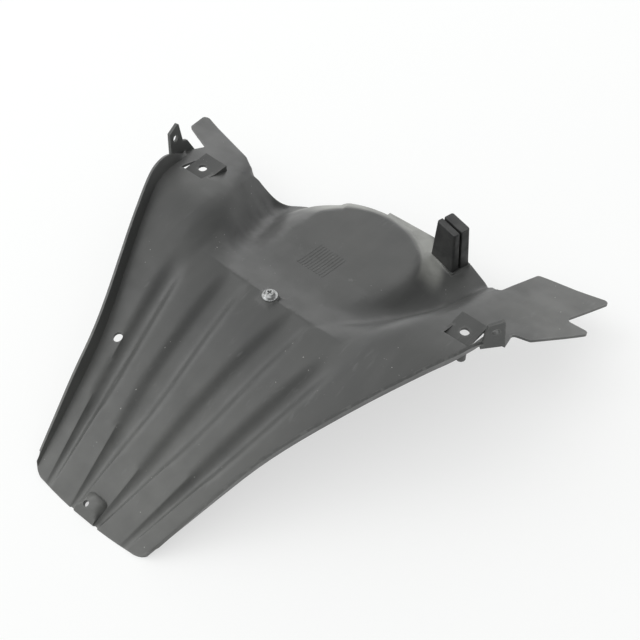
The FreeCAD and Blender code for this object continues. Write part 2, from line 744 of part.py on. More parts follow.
pocket_near = size("pocket_place") - size("pocket_length") / 2.0
pocket_far = size("pocket_place") + size("pocket_length") / 2.0
pocket_inner = size("pocket_half") - size("pocket_width") / 2.0
pocket_outer = size("pocket_half") + size("pocket_width") / 2.0
pocket_parts = []
pocket_cuts = []
pocket_drills = []
for side_name, side in SIDES:
    room_x = min(side * pocket_inner, side * (pocket_outer + size("pocket_slit")))
    pocket_cuts.append(add_box(
        side_name + "_pocket_room", placed(room_x, pocket_near, WELL_BELOW),
        "Sizes.pocket_width + Sizes.pocket_slit", "Sizes.pocket_length", str(WELL_ABOVE)))
    pad_x = min(side * (pocket_inner - size("wall")), side * pocket_outer)
    pocket_parts.append(add_box(
        side_name + "_pocket_pad",
        placed(pad_x, pocket_near - size("wall"), size("pocket_level") - size("wall")),
        "Sizes.pocket_width + Sizes.wall", "Sizes.pocket_length + 2 * Sizes.wall", "Sizes.wall"))
    for end_name, along, start in (
            ("near", pocket_near, pocket_near - size("wall")), ("far", pocket_far, pocket_far)):
        low, high = pocket_levels(side, along)
        pocket_parts.append(add_box(
            "%s_pocket_%s_wall" % (side_name, end_name), placed(pad_x, start, low),
            "Sizes.pocket_width + Sizes.wall", "Sizes.wall", str(high - low)))
    places = [pocket_near - size("wall"), size("pocket_place"), pocket_far + size("wall")]
    levels = [pocket_levels(side, along) for along in places]
    feet = [Vector(side * pocket_inner, along, low) for along, (low, high) in zip(places, levels)]
    heads = [Vector(side * pocket_inner, along, high) for along, (low, high) in zip(places, levels)]
    pocket_parts.append(add_solid(
        side_name + "_pocket_side_wall",
        plate(feet + heads[::-1], Vector(-side * size("wall"), 0, 0))))
    pocket_drills.append(add_cylinder(
        side_name + "_pocket_hole",
        placed(side * size("pocket_half"), size("pocket_place"), WELL_BELOW),
        "Sizes.pocket_hole / 2", str(WELL_ABOVE)))


# Ears: upright plates that grow out of the lips' ends, each with a hole.

ear_parts = [add_solid(side_name + "_ear", ear.plate()) for side_name, ear in ears.items()]
ear_parts.append(add_solid("left_ear_web", ears["left"].web()))
ear_drills = [
    add_cylinder(side_name + "_ear_hole", ear.drill(), "Sizes.ear_hole / 2", "Sizes.wall * 4")
    for side_name, ear in ears.items()]


# Tail boss: a rounded block, hollow underneath, with a hole through its top.

fan_turn = turned(X_AXIS, math.degrees(math.atan(size("fan_slope"))))
boss_level = skin_height(0.0, size("boss_place"))
boss_foot = placed(
    -size("boss_width") / 2.0, size("boss_place"), boss_level - size("wall") / 2.0, fan_turn)
boss_profile = [
    (0.0, 0.0),
    (size("boss_length"), 0.0),
    (size("boss_length"), size("boss_height") + size("wall") / 2.0),
    (size("boss_length") * size("boss_slope_share"), size("boss_height") + size("wall") / 2.0),
    (0.0, size("boss_near_height") + size("wall") / 2.0),
]
boss_block = add_solid(
    "tail_boss_block",
    plate([Vector(0.0, place, lift) for place, lift in boss_profile], X_AXIS * size("boss_width")))
boss_block.Placement = boss_foot


def on_boss_far_end(edge):
    return is_upright(edge) and boss_foot.inverse().multVec(edge.CenterOfMass).y > size("boss_length") / 2.0


def on_boss_rim(edge):
    middle = boss_foot.inverse().multVec(edge.CenterOfMass)
    level_start = size("boss_length") * size("boss_slope_share")
    return middle.z > size("boss_height") and middle.y > level_start + size("boss_edge")


boss_rounded = add_rounding("tail_boss_rounded", boss_block, size("boss_corner"), on_boss_far_end)
boss = add_dressing("Part::Chamfer", "tail_boss", boss_rounded, size("boss_edge"), on_boss_rim)
boss_room = add_box(
    "tail_boss_room",
    placed(
        -size("boss_width") / 2.0 + size("wall"), size("boss_place") + size("wall"),
        boss_level - 3.0 * size("wall"), fan_turn),
    "Sizes.boss_width - 2 * Sizes.wall", "Sizes.boss_length - 2 * Sizes.wall",
    "Sizes.boss_near_height + Sizes.wall * 3")
boss_drill = add_cylinder(
    "tail_boss_hole",
    placed(
        -size("boss_width") / 6.0, size("boss_place") + size("boss_length") / 2.0,
        boss_level, fan_turn),
    "Sizes.boss_hole / 2", "Sizes.boss_height * 4")


# Screw boss under the ridge, with a flat pad for the washer on top.

screw_seat = skin_height(0.0, size("ridge_place")) + size("wall") / 3.0
screw_pad = add_cylinder(
    "washer_pad", placed(0, size("ridge_place"), screw_seat - size("wall")),
    "Sizes.washer_pad / 2", "Sizes.wall")
screw_boss = add_cylinder(
    "screw_boss",
    placed(0, size("ridge_place"), screw_seat - size("wall") - size("screw_boss_length")),
    "Sizes.screw_boss / 2", "Sizes.screw_boss_length + Sizes.wall / 2")
screw_drill = add_cylinder(
    "screw_hole",
    placed(0, size("ridge_place"), screw_seat - size("screw_length") - size("wall")),
    "Sizes.screw_diameter / 2 + Sizes.screw_clearance", "Sizes.screw_length + Sizes.wall * 4")


# Pegs under the ends of the lips, the hole in the left side and the buffer's tab.

pegs = []
for side_name, side in SIDES:
    peg_top = skin_height(side * size("peg_half"), size("peg_place")) - size("wall") / 2.0
    pegs.append(add_cylinder(
        side_name + "_peg",
        placed(side * size("peg_half"), size("peg_place"), peg_top - size("peg_length")),
        "Sizes.peg_diameter / 2", "Sizes.peg_length"))

side_drill = add_cylinder(
    "side_hole", placed(-size("side_hole_half"), size("side_hole_place"), WELL_BELOW),
    "Sizes.side_hole / 2", str(WELL_ABOVE))

buffer_level = skin_height(size("buffer_half"), size("buffer_place")) + size("buffer_pad")
buffer_rotation = turned(Z_AXIS, size("buffer_turn"))
buffer_origin = Vector(size("buffer_half"), size("buffer_place"), buffer_level)


def on_buffer(x, y, z, extra=FreeCAD.Rotation()):
    """Placement given in the buffer's own turned frame, from its seat."""
    return FreeCAD.Placement(
        buffer_origin + buffer_rotation.multVec(Vector(x, y, z)), buffer_rotation * extra)


buffer_pad = add_box(
    "buffer_pad",
    on_buffer(
        -size("buffer_width") / 2.0 - size("buffer_pad_rim"),
        -size("buffer_depth") / 2.0 - size("buffer_pad_rim"), -size("buffer_pad") - size("wall") / 2.0),
    "Sizes.buffer_width + 2 * Sizes.buffer_pad_rim", "Sizes.buffer_depth + 2 * Sizes.buffer_pad_rim",
    "Sizes.buffer_pad + Sizes.wall / 2")
tab = add_box(
    "buffer_tab",
    on_buffer(-size("tab_width") / 2.0, -size("tab_thickness") / 2.0, -size("wall")),
    "Sizes.tab_width", "Sizes.tab_thickness", "Sizes.tab_height + Sizes.wall")


# The moulding: trimmed skin, opened where features go, joined with them, drilled and cut level.

openings = add_fuse("Openings", [hub_inner] + pocket_cuts)
opened = add_cut("OpenedSkin", trimmed, openings)
joined = add_fuse(
    "JoinedMoulding",
    [opened, hub] + pocket_parts + ear_parts + [boss, screw_pad, screw_boss, buffer_pad, tab] + pegs)
below_floor = add_solid(
    "BelowFloor",
    Part.makeBox(
        2.0 * WELL_OUTSIDE, 2.0 * WELL_OUTSIDE, -WELL_BELOW,
        Vector(-WELL_OUTSIDE, -WELL_OUTSIDE / 2.0, WELL_BELOW)))
drills = add_fuse(
    "Drills",
    pocket_drills + ear_drills + [boss_room, boss_drill, screw_drill, side_drill, below_floor])
mudguard = add_cut("Mudguard", joined, drills)
mudguard.Label = "mudguard"


# Washer, resting on the flat pad of the ridge.

washer_disc = add_cylinder(
    "washer_disc", placed(0, size("ridge_place"), screw_seat),
    "Sizes.washer_diameter / 2", "Sizes.washer_thickness")
washer_bore = add_cylinder(
    "washer_bore", placed(0, size("ridge_place"), screw_seat - size("washer_thickness")),
    "Sizes.washer_hole / 2", "Sizes.washer_thickness * 3")
washer = add_cut("Washer", washer_disc, washer_bore)
washer.Label = "washer"


# Pan-head screw with a cross recess, its head on the washer.

head_level = screw_seat + size("washer_thickness")
shank = add_cylinder(
    "screw_shank", placed(0, size("ridge_place"), head_level - size("screw_length")),
    "Sizes.screw_diameter / 2", "Sizes.screw_length + Sizes.screw_head_side / 2")
head_side = add_cylinder(
    "screw_head_side", placed(0, size("ridge_place"), head_level),
    "Sizes.screw_head / 2", "Sizes.screw_head_side")
head_top = add_bound(
    "Part::Cone", "screw_head_top",
    placed(0, size("ridge_place"), head_level + size("screw_head_side")),
    Radius1="Sizes.screw_head / 2", Radius2="Sizes.screw_head_top / 2",
    Height="Sizes.screw_head_height - Sizes.screw_head_side")
recess_level = head_level + size("screw_head_height") - size("screw_recess_depth")
recess_reach = size("screw_recess") / 2.0
recess_narrow = size("screw_recess_slot") / 2.0
recess_across = add_box(
    "recess_across",
    placed(-recess_reach, size("ridge_place") - recess_narrow, recess_level),
    "Sizes.screw_recess", "Sizes.screw_recess_slot", "Sizes.screw_recess_depth * 2")
recess_along = add_box(
    "recess_along",
    placed(-recess_narrow, size("ridge_place") - recess_reach, recess_level),
    "Sizes.screw_recess_slot", "Sizes.screw_recess", "Sizes.screw_recess_depth * 2")
screw_body = add_fuse("ScrewBody", [shank, head_side, head_top])
screw_recess = add_fuse("ScrewRecess", [recess_across, recess_along])
screw = add_cut("Screw", screw_body, screw_recess)
screw.Label = "screw"


# Rubber buffer: a tapered block pushed over its tab, grooved round between front and back.

buffer_block = doc.addObject("Part::Wedge", "buffer_block")
for field, expression in (
        ("Xmin", "-Sizes.buffer_width / 2"), ("Xmax", "Sizes.buffer_width / 2"),
        ("X2min", "-Sizes.buffer_top_width / 2"), ("X2max", "Sizes.buffer_top_width / 2"),
        ("Zmin", "-Sizes.buffer_depth / 2"), ("Zmax", "Sizes.buffer_depth / 2"),
        ("Z2min", "-Sizes.buffer_top_depth / 2"), ("Z2max", "Sizes.buffer_top_depth / 2"),
        ("Ymin", "0"), ("Ymax", "Sizes.buffer_height - Sizes.buffer_foot_gap")):
    buffer_block.setExpression(field, expression)
buffer_block.Placement = on_buffer(0, 0, size("buffer_foot_gap"), turned(X_AXIS, 90.0))

buffer_round = add_rounding("buffer_round", buffer_block, size("buffer_rounding"), is_upright)
groove_y = -size("buffer_slot_offset") - size("buffer_slot") / 2.0
groove_block = add_box(
    "buffer_groove_block", on_buffer(-size("buffer_width"), groove_y, 0.0),
    "Sizes.buffer_width * 2", "Sizes.buffer_slot", "Sizes.buffer_height * 2")
core_half = size("buffer_top_width") / 2.0 - size("buffer_groove_depth")
groove_core = add_box(
    "buffer_groove_core", on_buffer(-core_half, groove_y - size("buffer_slot"), -size("wall")),
    "Sizes.buffer_top_width - 2 * Sizes.buffer_groove_depth", "Sizes.buffer_slot * 3",
    "Sizes.buffer_height - Sizes.buffer_slot_depth + Sizes.wall")
groove = add_cut("buffer_groove", groove_block, groove_core)
tab_room = add_box(
    "buffer_tab_room",
    on_buffer(
        -size("tab_width") / 2.0 - size("tab_clearance"),
        -size("tab_thickness") / 2.0 - size("tab_clearance"), -size("wall")),
    "Sizes.tab_width + 2 * Sizes.tab_clearance", "Sizes.tab_thickness + 2 * Sizes.tab_clearance",
    "Sizes.tab_height + Sizes.wall + Sizes.tab_clearance")
buffer_tools = add_fuse("BufferTools", [groove, tab_room])
rubber_buffer = add_cut("RubberBuffer", buffer_round, buffer_tools)
rubber_buffer.Label = "rubber_buffer"


# The origin goes under the middle of the moulding.

doc.recompute()
extent = mudguard.Shape.optimalBoundingBox()
finished = (mudguard, washer, screw, rubber_buffer)
for piece in finished:
    piece.Placement = placed(-extent.Center.x, -extent.Center.y, -extent.ZMin)


# Every object is sound before anything is written.

for piece in doc.Objects:
    if "Invalid" in piece.State or "Error" in piece.State:
        raise RuntimeError("%s did not build: %s" % (piece.Name, piece.State))

os.makedirs("parts", exist_ok=True)
for piece in finished:
    shape = piece.Shape
    if shape.isNull() or not shape.isValid() or len(shape.Solids) != 1:
        raise RuntimeError("%s is not one sound solid" % piece.Label)
    print(piece.Label, round(shape.Volume), "mm3", shape.optimalBoundingBox())
    shape.exportStep("parts/%s.step" % piece.Label)
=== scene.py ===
import math

import bmesh
import bpy
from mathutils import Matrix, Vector
from mathutils.bvhtree import BVHTree


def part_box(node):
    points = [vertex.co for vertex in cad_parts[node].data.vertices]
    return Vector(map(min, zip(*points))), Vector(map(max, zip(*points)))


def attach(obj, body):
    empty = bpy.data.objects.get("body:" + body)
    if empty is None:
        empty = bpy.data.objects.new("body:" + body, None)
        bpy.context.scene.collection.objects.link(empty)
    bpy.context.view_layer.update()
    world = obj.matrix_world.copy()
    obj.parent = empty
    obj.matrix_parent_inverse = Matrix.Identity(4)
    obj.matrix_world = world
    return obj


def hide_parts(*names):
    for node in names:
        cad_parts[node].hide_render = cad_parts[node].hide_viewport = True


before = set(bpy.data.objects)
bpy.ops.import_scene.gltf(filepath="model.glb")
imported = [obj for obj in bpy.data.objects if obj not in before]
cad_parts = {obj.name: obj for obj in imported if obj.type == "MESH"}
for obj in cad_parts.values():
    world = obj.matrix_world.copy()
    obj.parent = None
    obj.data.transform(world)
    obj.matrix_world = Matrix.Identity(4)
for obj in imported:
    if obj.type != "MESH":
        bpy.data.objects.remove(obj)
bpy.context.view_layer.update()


# Mudguard: one injection moulding in dark grey polypropylene, 2.7 mm thick, with a fine grain all over.
# Its flutes, ridge and bowl leave the mould with soft edges, while its rims, ears and holes stay crisp, so
# it is shown by a merged copy of its solid with those forms eased. Its colour also carries painted shade in
# the valleys beside the bowl, and painted sheen and light on the bowl's far rim, the right flap and the tail end.

def principled(name, colour, roughness):
    """Material with one Principled shader, whose plain values stand on the shader's own sockets."""
    material = bpy.data.materials.new(name)
    material.use_nodes = True
    shader = material.node_tree.nodes["Principled BSDF"]
    shader.inputs["Base Color"].default_value = (*colour, 1.0)
    shader.inputs["Roughness"].default_value = roughness
    return material, shader


def noise(material, scale, detail=2.0, stretch=(1.0, 1.0, 1.0), turn=0.0, place=(0.0, 0.0, 0.0)):
    """Noise on Object coordinates in metres, which may be stretched, turned about Z and moved."""
    nodes = material.node_tree.nodes
    links = material.node_tree.links
    coordinates = nodes.new("ShaderNodeTexCoord")
    mapping = nodes.new("ShaderNodeMapping")
    mapping.inputs["Location"].default_value = place
    mapping.inputs["Rotation"].default_value = (0.0, 0.0, turn)
    mapping.inputs["Scale"].default_value = stretch
    texture = nodes.new("ShaderNodeTexNoise")
    texture.inputs["Scale"].default_value = scale
    texture.inputs["Detail"].default_value = detail
    links.new(coordinates.outputs["Object"], mapping.inputs["Vector"])
    links.new(mapping.outputs["Vector"], texture.inputs["Vector"])
    return texture.outputs["Fac"]


def attribute(material, name):
    """Value that the mesh carries on its points."""
    node = material.node_tree.nodes.new("ShaderNodeAttribute")
    node.attribute_name = name
    return node.outputs["Fac"]


def ramp(material, value, stops):
    """Colour ramp over a value: stops are (position, colour)."""
    node = material.node_tree.nodes.new("ShaderNodeValToRGB")
    elements = node.color_ramp.elements
    while len(elements) < len(stops):
        elements.new(0.5)
    for element, (position, colour) in zip(elements, stops):
        element.position = position
        element.color = (*colour, 1.0)
    material.node_tree.links.new(value, node.inputs["Fac"])
    return node.outputs["Color"]


def span(material, value, low, high, to_low=0.0, to_high=1.0):
    """Value mapped from one range to another and held inside it."""
    node = material.node_tree.nodes.new("ShaderNodeMapRange")
    node.inputs["From Min"].default_value = low
    node.inputs["From Max"].default_value = high
    node.inputs["To Min"].default_value = to_low
    node.inputs["To Max"].default_value = to_high
    material.node_tree.links.new(value, node.inputs["Value"])
    return node.outputs["Result"]


def product(material, first, second):
    """Two values multiplied."""
    node = material.node_tree.nodes.new("ShaderNodeMath")
    node.operation = "MULTIPLY"
    material.node_tree.links.new(first, node.inputs[0])
    material.node_tree.links.new(second, node.inputs[1])
    return node.outputs["Value"]


def marked(material, under, mark_colour, amount):
    """Colour with marks of another colour over it, where the amount is above zero."""
    node = material.node_tree.nodes.new("ShaderNodeMix")
    node.data_type = "RGBA"
    node.inputs[7].default_value = (*mark_colour, 1.0)
    material.node_tree.links.new(amount, node.inputs[0])
    material.node_tree.links.new(under, node.inputs[6])
    return node.outputs[2]


def bumped(material, shader, layers):
    """Bump layers of (height, distance, strength), one over the other, on the shader's normal."""
    below = None
    for height, distance, strength in layers:
        node = material.node_tree.nodes.new("ShaderNodeBump")
        node.inputs["Distance"].default_value = distance
        node.inputs["Strength"].default_value = strength
        material.node_tree.links.new(height, node.inputs["Height"])
        if below is not None:
            material.node_tree.links.new(below, node.inputs["Normal"])
        below = node.outputs["Normal"]
    material.node_tree.links.new(below, shader.inputs["Normal"])


def merged_copy(node_name):
    """Mesh of a frame node as a closed bmesh, its triangles joined at their corners."""
    joined = bmesh.new()
    joined.from_mesh(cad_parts[node_name].data)
    bmesh.ops.remove_doubles(joined, verts=joined.verts, dist=0.00001)
    return joined


def cut_finer(mesh, longest):
    """Cuts the edges in half until none is longer."""
    for _ in range(8):
        long_edges = [edge for edge in mesh.edges if edge.calc_length() > longest]
        if not long_edges:
            break
        bmesh.ops.subdivide_edges(mesh, edges=long_edges, cuts=1)
        bmesh.ops.triangulate(mesh, faces=mesh.faces, quad_method="SHORT_EDGE", ngon_method="BEAUTY")


def fold(edge):
    """Angle between the two faces of an edge, above zero where it stands out and below where it is a groove."""
    return edge.calc_face_angle_signed(0.0)


def finished(mesh, name, material, crease):
    """Object for a bmesh, shaded smooth but for the edges that fold by more than the crease."""
    for face in mesh.faces:
        face.smooth = True
    for edge in mesh.edges:
        edge.smooth = abs(fold(edge)) < crease
    data = bpy.data.meshes.new(name)
    mesh.to_mesh(data)
    data.materials.append(material)
    piece = bpy.data.objects.new(name, data)
    bpy.context.scene.collection.objects.link(piece)
    return piece


def ease(mesh, verts, passes):
    """Draws points towards their neighbours, which rounds the folds between them."""
    for _ in range(passes):
        bmesh.ops.smooth_vert(mesh, verts=verts, factor=0.5, use_axis_x=True, use_axis_y=True, use_axis_z=True)


def ease_evenly(mesh, verts, passes, gap):
    """Draws points towards their neighbours, less where these lie wider apart than the gap, so that the folds
    along Y soften alike in coarse and fine stretches of the mesh."""
    groups = {}
    for vert in verts:
        spread = [(edge.other_vert(vert).co.x - vert.co.x) ** 2 for edge in vert.link_edges]
        share = min(1.0, gap * gap * len(spread) / max(sum(spread), 1e-12))
        groups.setdefault(round(2.0 * math.log2(share)) / 2.0, []).append(vert)
    for _ in range(passes):
        for step in sorted(groups):
            bmesh.ops.smooth_vert(
                mesh, verts=groups[step], factor=0.5 * 2.0 ** step,
                use_axis_x=True, use_axis_y=True, use_axis_z=True)


def ease_rim(rim_edges, verts, passes):
    """Draws the points of a rim towards their neighbours on it, which rounds its corners."""
    beside = {vert: [edge.other_vert(vert) for edge in vert.link_edges if edge in rim_edges] for vert in verts}
    for _ in range(passes):
        moved = [(vert.co + sum((near.co for near in beside[vert]), Vector()) / len(beside[vert])) / 2.0
                 for vert in verts]
        for vert, place in zip(verts, moved):
            vert.co = place


def step_up(value, low, high):
    """Zero below a range, one above it, and a smooth rise between."""
    share = min(1.0, max(0.0, (value - low) / (high - low)))
    return share * share * (3.0 - 2.0 * share)


def top_over(tree, place):
    """Height of the uppermost surface over a place, or nothing beside the piece."""
    hit = tree.ray_cast(Vector((place.x, place.y, look_height)), Vector((0.0, 0.0, -1.0)))[0]
    return None if hit is None else hit.z


def rolled_rim(tree, vert):
    """How far the rim beyond the disc's edge falls at a point, on a straight slope to the hub's shoulder."""
    outwards = vert.co.xy - disc_centre
    reach = outwards.length
    if reach <= disc_edge or (vert.co.xy - hub_centre).length >= hub_shoulder:
        return 0.0
    outwards = outwards / reach
    between = disc_centre - hub_centre
    along = between.dot(outwards)
    shoulder = -along + math.sqrt(along * along - between.length_squared + hub_shoulder * hub_shoulder)
    foot = top_over(tree, disc_centre + outwards * shoulder)
    here = top_over(tree, vert.co.xy)
    if foot is None or here is None or vert.co.z < here - skin_depth:
        return 0.0
    share = (reach - disc_edge) / (shoulder - disc_edge)
    share = share * share * (1.0 + rim_start) / (share + rim_start)
    edge = top_over(tree, disc_centre + outwards * disc_edge)
    fall = min(0.0, edge + (foot - edge) * share - here)
    return fall * step_up(outwards.y, *rim_turn)


def valley_drop(place, start, end, depth, half_width):
    """How far a groove between two points falls at a place, below zero; it fades out towards its end."""
    line = end - start
    share = (place - start).dot(line) / line.length_squared
    beside = (place - start - line * min(1.0, max(0.0, share))).length
    return -depth * (1.0 - step_up(share, *valley_fade)) * math.exp(-(beside / half_width) ** 2)


def in_hub_crease(edge):
    """Whether an edge lies in the groove between the hub and the skin round it."""
    middle = (edge.verts[0].co + edge.verts[1].co).xy / 2.0
    return fold(edge) < 0.0 and hub_rim_inside < (middle - hub_centre).length < hub_skin_reach


crisp_fold = math.radians(62.0)
moulding_crease = math.radians(38.0)
finest_edge = 0.0035
look_height = 0.2
skin_depth = 0.010
disc_centre = Vector((0.0060, 0.0995))
disc_edge = 0.058
hub_shoulder = 0.080
rim_start = 0.10
rim_turn = (-0.65, -0.25)
valley_fade = (0.35, 1.0)
left_valley = (Vector((-0.092, 0.124)), Vector((-0.054, 0.020)), 0.0085, 0.013)
# Painted shade: two bands of darker colour along the valleys beside the bowl, each from a start to an end point,
# with its strength and half width.
left_painted_shade = (Vector((-0.100, 0.106)), Vector((-0.046, -0.020)), 0.80, 0.009)
right_painted_shade = (Vector((0.084, 0.124)), Vector((0.050, 0.030)), 0.35, 0.014)
right_valley = (Vector((0.086, 0.116)), Vector((0.058, 0.040)), 0.0030, 0.012)
ridge_line = 0.0
flute_gap = 0.0008
hub_centre = Vector((0.0003, 0.0962))
hub_rim_inside = 0.056
hub_rim_outside = 0.088
hub_skin_reach = 0.120
trough_side = 0.050
trough_start = 0.012
valley_left = -0.136
valley_right = -0.070
valley_near = 0.100
hub_weld = 0.0015
foot_depth = 0.0012
rim_passes = 60
soft_passes = 2
flute_passes = 20
hub_passes = 3
trough_passes = 8
foot_passes = 16
# Painted sheen and light: a lighter colour on the bowl's far rim and the right flap, where grazing light gleams,
# and on the tail end, where more light falls.
painted_light_share = 0.19
disc_sheen_width = 0.004
disc_sheen_y = (0.010, 0.040)
shoulder_sheen_width = 0.010
tail_light_y = (0.040, 0.190)
flap_sheen_x = (0.110, 0.170)
flap_sheen_y = (0.090, 0.140)

moulding = merged_copy("mudguard")
sharp = {vert for edge in moulding.edges if abs(fold(edge)) > crisp_fold for vert in edge.verts}
hub_skin = [
    vert for vert in moulding.verts
    if vert not in sharp and hub_rim_inside < (vert.co.xy - hub_centre).length < hub_skin_reach]
bmesh.ops.remove_doubles(moulding, verts=hub_skin, dist=hub_weld)
cut_finer(moulding, finest_edge)
rim_edges = {edge for edge in moulding.edges if abs(fold(edge)) > crisp_fold and not in_hub_crease(edge)}
crisp = {vert for edge in rim_edges for vert in edge.verts}
valley_rim = [
    vert for vert in crisp if valley_left < vert.co.x < valley_right and vert.co.y > valley_near]
soft = [vert for vert in moulding.verts if vert not in crisp]
flutes = [vert for vert in soft if vert.co.y < ridge_line]
hub_rim = [
    vert for vert in soft if hub_rim_inside < (vert.co.xy - hub_centre).length < hub_rim_outside]
trough_walls = [
    vert for vert in soft if vert.co.y > trough_start and abs(vert.co.x) > trough_side]
left_foot = [vert for vert in soft if valley_drop(vert.co.xy, *left_valley) < -foot_depth]
skin = BVHTree.FromBMesh(moulding)
drops = [
    rolled_rim(skin, vert) + valley_drop(vert.co.xy, *left_valley)
    + valley_drop(vert.co.xy, *right_valley) for vert in moulding.verts]
for vert, drop in zip(moulding.verts, drops):
    vert.co.z += drop
ease_rim(rim_edges, valley_rim, rim_passes)
ease(moulding, soft, soft_passes)
ease_evenly(moulding, flutes, flute_passes, flute_gap)
ease(moulding, hub_rim, hub_passes)
ease(moulding, trough_walls, trough_passes)
ease(moulding, left_foot, foot_passes)
rubbed = moulding.verts.layers.float.new("rubbed")
painted_light = moulding.verts.layers.float.new("painted_light")
painted_shade = moulding.verts.layers.float.new("painted_shade")
for vert in moulding.verts:
    # Painted shade along the two valleys beside the bowl.
    vert[painted_shade] = -valley_drop(vert.co.xy, *left_painted_shade) - valley_drop(vert.co.xy, *right_painted_shade)
    vert[rubbed] = max(fold(edge) for edge in vert.link_edges)
    outwards = vert.co.xy - disc_centre
    # Painted sheen on the band of the bowl's far rim beyond the disc's edge.
    rim_sheen = step_up(outwards.length, disc_edge, disc_edge + disc_sheen_width) * step_up(outwards.y, *disc_sheen_y)
    from_hub = (vert.co.xy - hub_centre).length
    rim_sheen *= 1.0 - step_up(from_hub, hub_shoulder, hub_shoulder + shoulder_sheen_width)
    # Painted light on the tail end of the fan.
    tail_light = painted_light_share * step_up(-vert.co.y, *tail_light_y)
    # Painted sheen on the right flap.
    flap_sheen = painted_light_share * step_up(vert.co.x, *flap_sheen_x) * step_up(vert.co.y, *flap_sheen_y)
    vert[painted_light] = max(rim_sheen, tail_light, flap_sheen)

moulding_material, moulding_shader = principled("grained_polypropylene", (0.061, 0.063, 0.061), 0.45)
shade = ramp(moulding_material, noise(moulding_material, 14.0, 4.0), [
    (0.30, (0.055, 0.057, 0.056)), (0.70, (0.067, 0.069, 0.066))])
streaks = span(moulding_material, noise(moulding_material, 70.0, 4.0, (1.0, 0.10, 1.0)), 0.45, 0.75, 0.0, 0.45)
shade = marked(moulding_material, shade, (0.080, 0.082, 0.079), streaks)
painted_light_amount = product(
    moulding_material, attribute(moulding_material, "painted_light"),
    span(moulding_material, noise(moulding_material, 60.0, 3.0, place=(1.0, 2.0, 0.0)), 0.30, 0.60, 0.65, 1.0))
# Painted sheen and light: lighter colour where the points carry it, broken by noise.
shade = marked(moulding_material, shade, (0.300, 0.305, 0.285), painted_light_amount)
# Painted shade: darker colour in the valleys beside the bowl.
shade = marked(moulding_material, shade, (0.026, 0.027, 0.027), attribute(moulding_material, "painted_shade"))
scuffs = product(
    moulding_material,
    span(moulding_material, noise(moulding_material, 260.0, 3.0, (1.0, 0.07, 1.0), 0.5), 0.60, 0.72),
    span(moulding_material, noise(moulding_material, 22.0, 2.0, place=(3.0, 1.0, 0.0)), 0.50, 0.66, 0.0, 0.30))
shade = marked(moulding_material, shade, (0.15, 0.154, 0.15), scuffs)
rub = product(
    moulding_material,
    span(moulding_material, attribute(moulding_material, "rubbed"), 0.25, 1.3, 0.0, 0.5),
    span(moulding_material, noise(moulding_material, 120.0, 4.0), 0.42, 0.62, 0.15, 0.9))
shade = marked(moulding_material, shade, (0.15, 0.154, 0.148), rub)
specks = product(
    moulding_material,
    span(moulding_material, noise(moulding_material, 420.0, 1.0), 0.765, 0.80),
    span(moulding_material, noise(moulding_material, 16.0, 1.0, place=(0.0, 5.0, 2.0)), 0.52, 0.60))
shade = marked(moulding_material, shade, (0.36, 0.36, 0.345), specks)
moulding_material.node_tree.links.new(shade, moulding_shader.inputs["Base Color"])
moulding_material.node_tree.links.new(
    span(moulding_material, noise(moulding_material, 45.0, 4.0), 0.35, 0.65, 0.40, 0.50),
    moulding_shader.inputs["Roughness"])
bumped(moulding_material, moulding_shader, [
    (noise(moulding_material, 38.0, 2.0), 0.0012, 0.20),
    (noise(moulding_material, 1100.0, 2.0), 0.0003, 0.14)])

mudguard = finished(moulding, "mudguard_moulding", moulding_material, moulding_crease)
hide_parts("mudguard")
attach(mudguard, "root")


# Disc hatching: a small block of raised lines that the mould leaves on the disc of the bowl, in the same
# polypropylene as the rest. The lines follow the disc's slope.

hatch_near = 0.058
hatch_far = 0.089
hatch_left = -0.018
hatch_pitch = 0.0030
hatch_lines = 10
line_width = 0.0011
line_height = 0.00018
line_root = 0.0006
line_cuts = 6
line_length = hatch_far - hatch_near

skin_under = BVHTree.FromBMesh(moulding)
hatching = bmesh.new()
for count in range(hatch_lines):
    line = bmesh.ops.create_cube(hatching, size=1.0)["verts"]
    bmesh.ops.scale(hatching, vec=(line_width, line_length, 1.0), verts=line)
    bmesh.ops.translate(
        hatching, vec=(hatch_left + hatch_pitch * count, (hatch_far + hatch_near) / 2.0, 0.0), verts=line)
long_edges = [edge for edge in hatching.edges if abs(edge.verts[0].co.y - edge.verts[1].co.y) > line_length / 2.0]
bmesh.ops.subdivide_edges(hatching, edges=long_edges, cuts=line_cuts, use_grid_fill=True)
for vert in hatching.verts:
    vert.co.z = top_over(skin_under, vert.co) + (line_height if vert.co.z > 0.0 else -line_root)
disc_hatching = finished(hatching, "disc_hatching", moulding_material, moulding_crease)
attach(disc_hatching, "root")
hatching.free()
moulding.free()


# Washer and screw: zinc-plated steel, the washer stamped and the screw cold headed. The screw is driven into
# the boss under the ridge and holds the washer on the flat pad there.

zinc_material, zinc_shader = principled("bright_zinc", (0.50, 0.51, 0.51), 0.28)
zinc_shader.inputs["Metallic"].default_value = 1.0
plating = ramp(zinc_material, noise(zinc_material, 500.0, 4.0), [
    (0.35, (0.34, 0.345, 0.34)), (0.65, (0.60, 0.61, 0.61))])
zinc_material.node_tree.links.new(plating, zinc_shader.inputs["Base Color"])
zinc_material.node_tree.links.new(
    span(zinc_material, noise(zinc_material, 900.0, 2.0), 0.35, 0.65, 0.22, 0.42), zinc_shader.inputs["Roughness"])
bumped(zinc_material, zinc_shader, [(noise(zinc_material, 1500.0, 2.0), 0.0001, 0.10)])

for node_name in ("washer", "screw"):
    steel = merged_copy(node_name)
    fastener = finished(steel, node_name + "_plated", zinc_material, math.radians(30.0))
    steel.free()
    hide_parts(node_name)
    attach(fastener, "root")


# Rubber buffer: black moulded rubber with grip grooves, pushed over an upright tab of the moulding. Its edges
# are soft and its faces carry a dull, slightly dusty skin.

